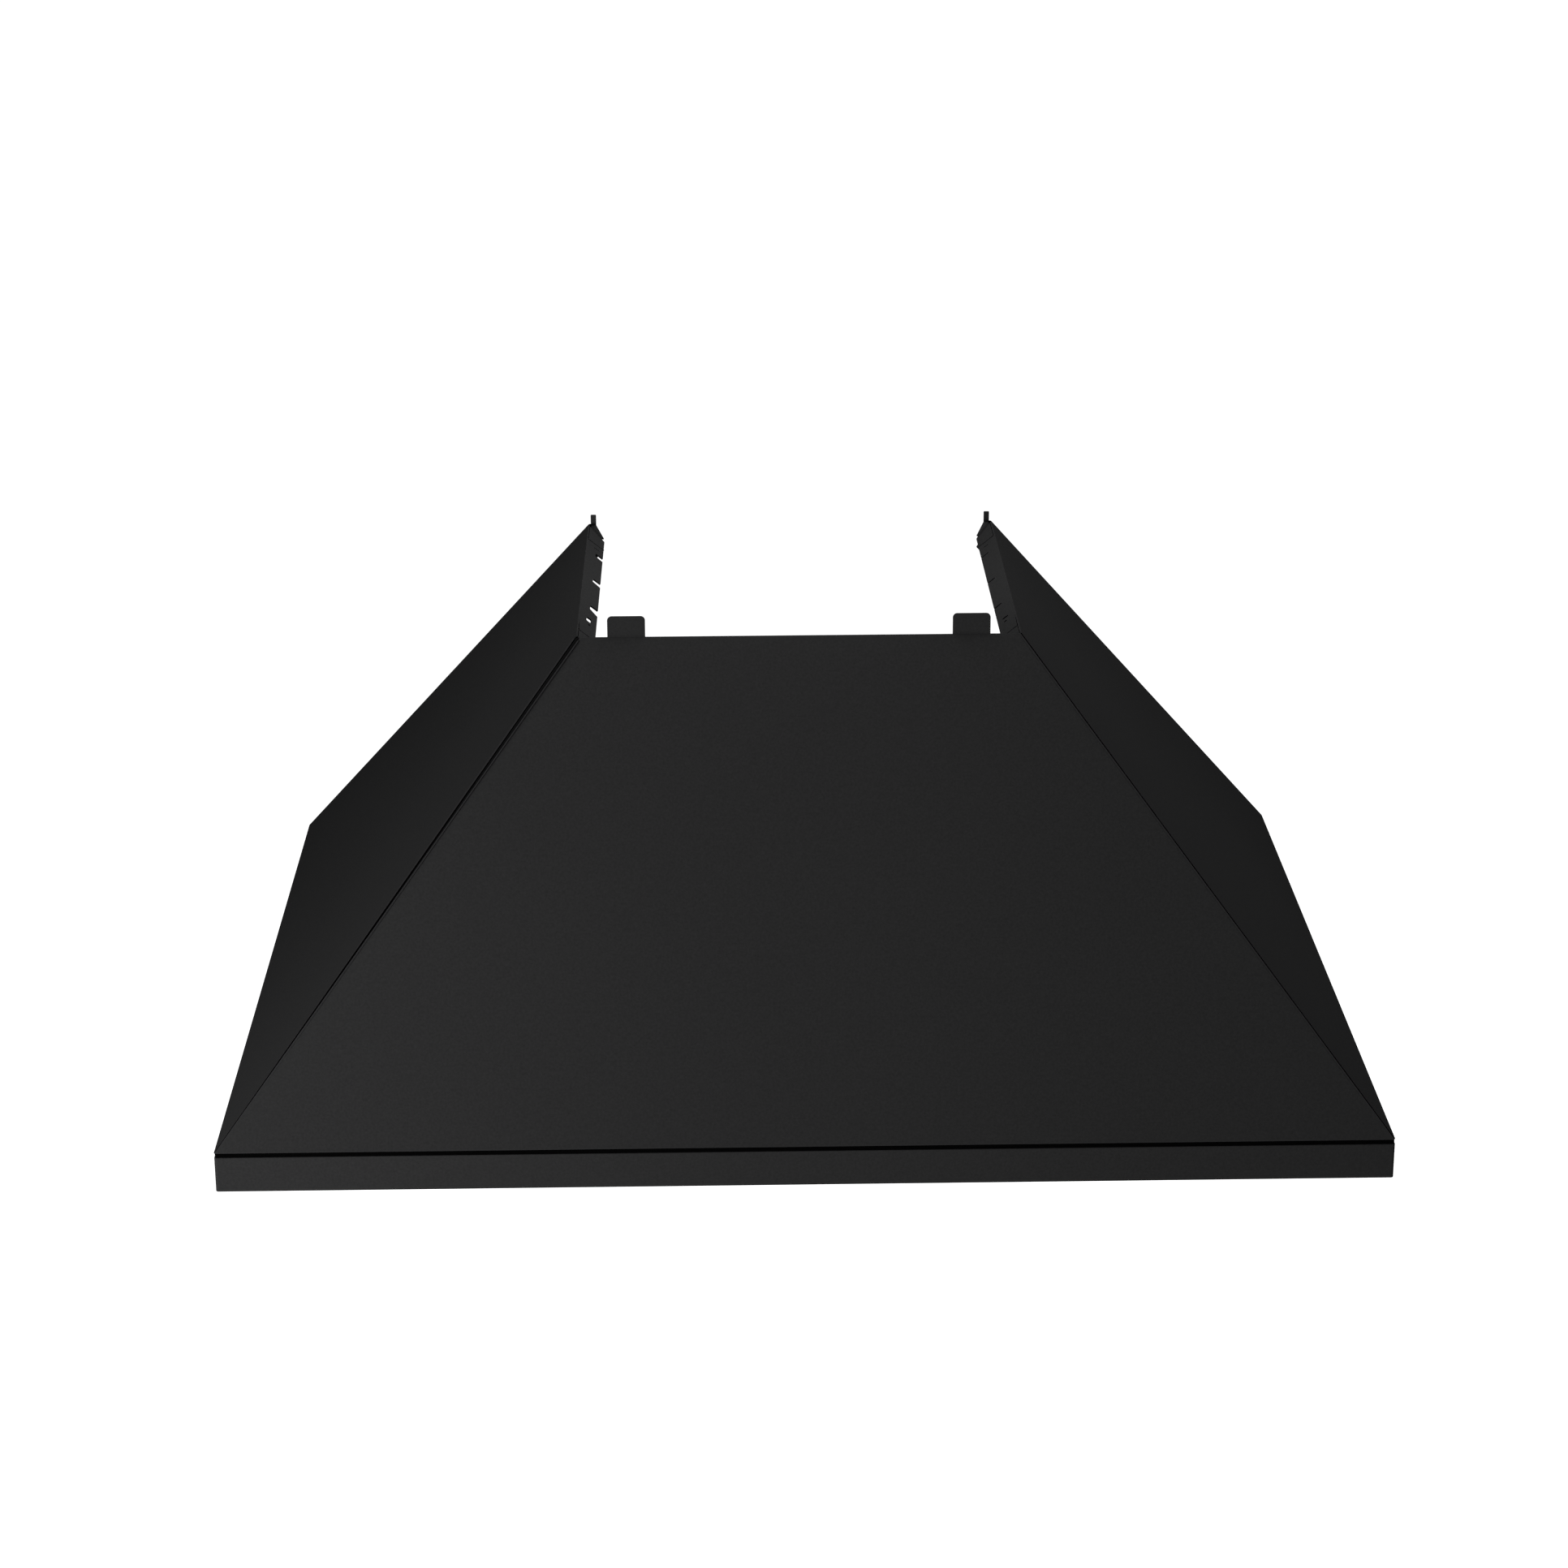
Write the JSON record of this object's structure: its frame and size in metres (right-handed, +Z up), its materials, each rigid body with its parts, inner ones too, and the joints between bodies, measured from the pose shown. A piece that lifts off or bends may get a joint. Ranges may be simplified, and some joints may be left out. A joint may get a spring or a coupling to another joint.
{
  "type": "island range hood",
  "caption": "Tapered sheet-metal island range hood on a slim rim band, with baffle filters, lamps, push buttons and a ducted blower.",
  "frame": {"origin": "centre of the rim's bottom edge", "axes": "+Z up; -Y is the front, the face with the two tabs; +X is the right-hand side seen from the front and the longest side"},
  "size_m": [0.762, 0.61, 0.334],
  "materials": {
    "canopy_paint": "dark grey powder coat, fine texture",
    "foam": "closed-cell foam strip, matt",
    "zinc_fastener": "zinc plated",
    "stainless": "brushed",
    "magnet_nickel": "nickel plated",
    "fascia_gloss": "gloss black",
    "black_plastic": "moulded, matt",
    "board_green": "circuit board, lacquered",
    "bright_trim": "polished",
    "frosted_lens": "frosted",
    "heat_sink": "die cast, satin",
    "galvanised": "galvanised sheet",
    "motor_enamel": "black enamel",
    "grommet_rubber": "matt",
    "shaft_steel": "ground steel",
    "terminal_white": "moulded, cream",
    "capacitor_case": "moulded, pale grey",
    "wheel_plastic": "moulded, satin",
    "damper_sheet": "mill finish",
    "button_plastic": "satin dark grey"
  },
  "bodies": {
    "hood": {"front_panel": "canopy_paint", "left_side_panel": "canopy_paint", "right_side_panel": "canopy_paint", "left_rear_stile": "canopy_paint", "right_rear_stile": "canopy_paint", "rim_frame": "canopy_paint", "rim_ledge": "canopy_paint", "rim_gasket": "foam", "rim_screws": "zinc_fastener", "seam_bolts": "zinc_fastener", "seam_nuts": "zinc_fastener", "liner_pan": "stainless", "liner_skirt": "stainless", "filter_hooks": "stainless", "filter_magnets": "magnet_nickel", "control_fascia": "fascia_gloss", "switch_housing": "black_plastic", "switch_board": "board_green", "left_lamp_bezel": "bright_trim", "right_lamp_bezel": "bright_trim", "left_lamp_lens": "frosted_lens", "right_lamp_lens": "frosted_lens", "left_lamp_housing": "heat_sink", "right_lamp_housing": "heat_sink", "plenum_box": "galvanised", "plenum_roof": "galvanised", "scroll_housing": "galvanised", "left_inlet_ring": "galvanised", "right_inlet_ring": "galvanised", "fan_motor": "motor_enamel", "motor_bracket": "galvanised", "motor_grommets": "grommet_rubber", "duct_collar": "galvanised", "damper_rod": "shaft_steel", "left_suspension_rail": "galvanised", "right_suspension_rail": "galvanised", "blower_screws": "zinc_fastener", "junction_box": "galvanised", "junction_box_lid": "galvanised", "cable_gland": "black_plastic", "terminal_block": "terminal_white", "motor_capacitor": "capacitor_case", "capacitor_clip": "galvanised"},
    "fan": {"impeller": "wheel_plastic", "motor_shaft": "shaft_steel"},
    "left_flap": {"left_damper_flap": "damper_sheet"},
    "right_flap": {"right_damper_flap": "damper_sheet"},
    "left_filter": {"left_filter_frame": "stainless", "left_filter_lower_baffles": "stainless", "left_filter_upper_baffles": "stainless"},
    "left_handle": {"left_filter_handle": "bright_trim"},
    "right_filter": {"right_filter_frame": "stainless", "right_filter_lower_baffles": "stainless", "right_filter_upper_baffles": "stainless"},
    "right_handle": {"right_filter_handle": "bright_trim"},
    "power_button": {"power_button": "button_plastic"},
    "light_button": {"light_button": "button_plastic"},
    "low_speed_button": {"low_speed_button": "button_plastic"},
    "medium_speed_button": {"medium_speed_button": "button_plastic"},
    "high_speed_button": {"high_speed_button": "button_plastic"}
  },
  "joints": [
    {"name": "fan_spin", "type": "hinge", "parent": "hood", "child": "fan", "pos_m": [0, -0.0675, 0.122], "axis": [1, 0, 0], "continuous": true},
    {"name": "left_flap_swing", "type": "hinge", "parent": "hood", "child": "left_flap", "pos_m": [0, 0, 0.22], "axis": [0, 1, 0], "range_deg": [0, 80]},
    {"name": "right_flap_swing", "type": "hinge", "parent": "hood", "child": "right_flap", "pos_m": [0, 0, 0.22], "axis": [0, -1, 0], "range_deg": [0, 80]},
    {"name": "left_filter_swing", "type": "hinge", "parent": "hood", "child": "left_filter", "pos_m": [-0.119, 0.155, 0.0177], "axis": [1, 0, 0], "range_deg": [0, 60]},
    {"name": "left_handle_swing", "type": "hinge", "parent": "left_filter", "child": "left_handle", "pos_m": [-0.119, -0.147, 0.00464], "axis": [-1, 0, 0], "range_deg": [0, 90]},
    {"name": "right_filter_swing", "type": "hinge", "parent": "hood", "child": "right_filter", "pos_m": [0.119, 0.155, 0.0177], "axis": [1, 0, 0], "range_deg": [0, 60]},
    {"name": "right_handle_swing", "type": "hinge", "parent": "right_filter", "child": "right_handle", "pos_m": [0.119, -0.147, 0.00464], "axis": [-1, 0, 0], "range_deg": [0, 90]},
    {"name": "power_button_press", "type": "slide", "parent": "hood", "child": "power_button", "axis": [0, 0, 1], "range_m": [0, 0.002], "stiffness_N_per_m": 400, "springref_m": -0.001},
    {"name": "light_button_press", "type": "slide", "parent": "hood", "child": "light_button", "axis": [0, 0, 1], "range_m": [0, 0.002], "stiffness_N_per_m": 400, "springref_m": -0.001},
    {"name": "low_speed_button_press", "type": "slide", "parent": "hood", "child": "low_speed_button", "axis": [0, 0, 1], "range_m": [0, 0.002], "stiffness_N_per_m": 400, "springref_m": -0.001},
    {"name": "medium_speed_button_press", "type": "slide", "parent": "hood", "child": "medium_speed_button", "axis": [0, 0, 1], "range_m": [0, 0.002], "stiffness_N_per_m": 400, "springref_m": -0.001},
    {"name": "high_speed_button_press", "type": "slide", "parent": "hood", "child": "high_speed_button", "axis": [0, 0, 1], "range_m": [0, 0.002], "stiffness_N_per_m": 400, "springref_m": -0.001}
  ]
}
